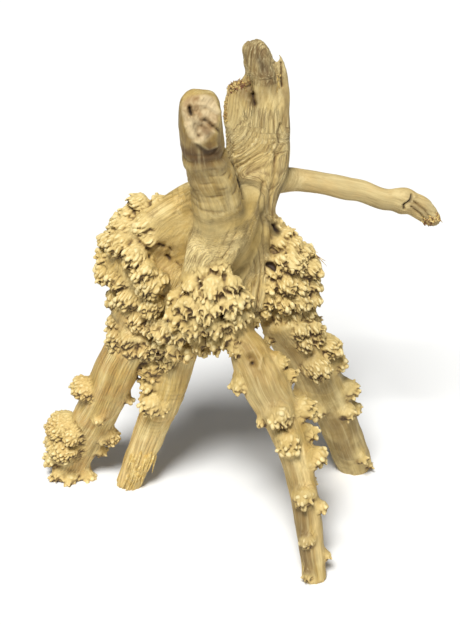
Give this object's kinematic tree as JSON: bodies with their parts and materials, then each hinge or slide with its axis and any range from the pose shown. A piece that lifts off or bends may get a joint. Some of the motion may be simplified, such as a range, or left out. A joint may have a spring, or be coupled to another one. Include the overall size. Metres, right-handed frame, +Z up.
{
  "type": "spider wood",
  "caption": "Burled spider wood root crown standing on cut roots, with a blunt front branch, a split flattened trunk and a thin side branch; decoration for an aquarium or terrarium.",
  "frame": {"origin": "middle of the bounding box at floor level, under the crown", "axes": "+X towards the thin side branch, -Y to the front, where the blunt branch leans, +Z up"},
  "size_m": [0.293, 0.156, 0.3574],
  "materials": {
    "root_crown": "matt, dry, bark-free",
    "front_root": "matt, dry, bark-free",
    "right_root": "matt, dry, bark-free",
    "left_root": "matt, dry, bark-free",
    "rear_root": "matt, dry, bark-free",
    "front_branch": "matt, dry, bark-free",
    "split_trunk": "matt, dry, bark-free",
    "side_branch": "matt, dry, bark-free"
  },
  "bodies": {
    "root": {"root_crown": "root_crown", "front_root": "front_root", "right_root": "right_root", "left_root": "left_root", "rear_root": "rear_root", "front_branch": "front_branch", "split_trunk": "split_trunk", "side_branch": "side_branch"}
  },
  "joints": []
}
